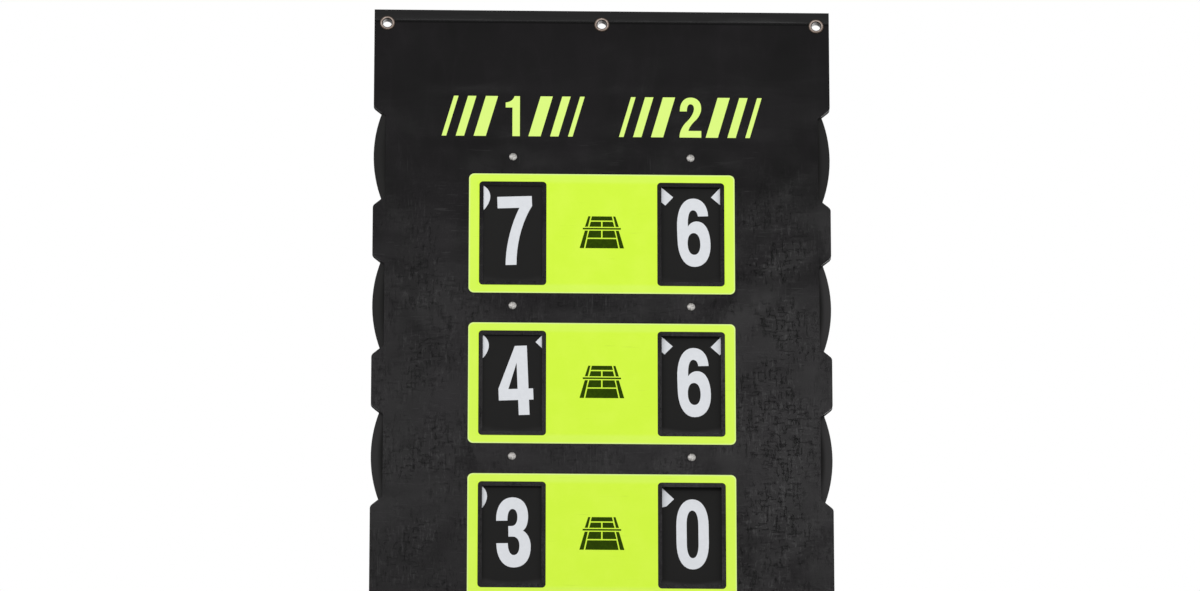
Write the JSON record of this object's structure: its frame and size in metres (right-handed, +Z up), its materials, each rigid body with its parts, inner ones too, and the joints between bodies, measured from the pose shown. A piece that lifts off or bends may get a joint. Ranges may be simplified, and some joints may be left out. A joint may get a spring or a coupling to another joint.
{
  "type": "hanging tennis scoreboard",
  "caption": "Hanging tarpaulin scoreboard for a racket game, with number discs turned by their rims behind windows.",
  "frame": {"origin": "on the middle eyelet's axis, halfway through the space between the two sheets", "axes": "+X to the board's right as seen from the front, +Z up, front towards -Y"},
  "size_m": [0.6, 0.0125, 0.9],
  "materials": {
    "tarpaulin": "satin black coated tarpaulin",
    "disc_sheet": "matt black sheet",
    "panel_film": "matt neon yellow-green film",
    "spacer_foam": "matt black foam strip",
    "rivet_steel": "plated",
    "eyelet_brass": "dull, coppery"
  },
  "bodies": {
    "board": {"front_sheet": "tarpaulin", "back_sheet": "tarpaulin", "top_spacer_strip": "spacer_foam", "bottom_spacer_strip": "spacer_foam", "eyelets": "eyelet_brass", "eyelet_washers": "eyelet_brass", "pivot_rivets": "rivet_steel", "left_side_spacer_1": "spacer_foam", "right_side_spacer_1": "spacer_foam", "left_side_spacer_2": "spacer_foam", "right_side_spacer_2": "spacer_foam", "left_side_spacer_3": "spacer_foam", "right_side_spacer_3": "spacer_foam", "left_side_spacer_4": "spacer_foam", "right_side_spacer_4": "spacer_foam", "score_panel_1": "panel_film", "score_panel_2": "panel_film", "score_panel_3": "panel_film"},
    "left_disc_1": {"left_number_disc_1": "disc_sheet"},
    "right_disc_1": {"right_number_disc_1": "disc_sheet"},
    "left_disc_2": {"left_number_disc_2": "disc_sheet"},
    "right_disc_2": {"right_number_disc_2": "disc_sheet"},
    "left_disc_3": {"left_number_disc_3": "disc_sheet"},
    "right_disc_3": {"right_number_disc_3": "disc_sheet"}
  },
  "joints": [
    {"name": "left_disc_turn_1", "type": "hinge", "parent": "board", "child": "left_disc_1", "pos_m": [-0.1165, 0, -0.19], "axis": [0, 1, 0], "continuous": true},
    {"name": "right_disc_turn_1", "type": "hinge", "parent": "board", "child": "right_disc_1", "pos_m": [0.1165, 0, -0.19], "axis": [0, 1, 0], "continuous": true},
    {"name": "left_disc_turn_2", "type": "hinge", "parent": "board", "child": "left_disc_2", "pos_m": [-0.1165, 0, -0.4], "axis": [0, 1, 0], "continuous": true},
    {"name": "right_disc_turn_2", "type": "hinge", "parent": "board", "child": "right_disc_2", "pos_m": [0.1165, 0, -0.4], "axis": [0, 1, 0], "continuous": true},
    {"name": "left_disc_turn_3", "type": "hinge", "parent": "board", "child": "left_disc_3", "pos_m": [-0.1165, 0, -0.61], "axis": [0, 1, 0], "continuous": true},
    {"name": "right_disc_turn_3", "type": "hinge", "parent": "board", "child": "right_disc_3", "pos_m": [0.1165, 0, -0.61], "axis": [0, 1, 0], "continuous": true}
  ]
}
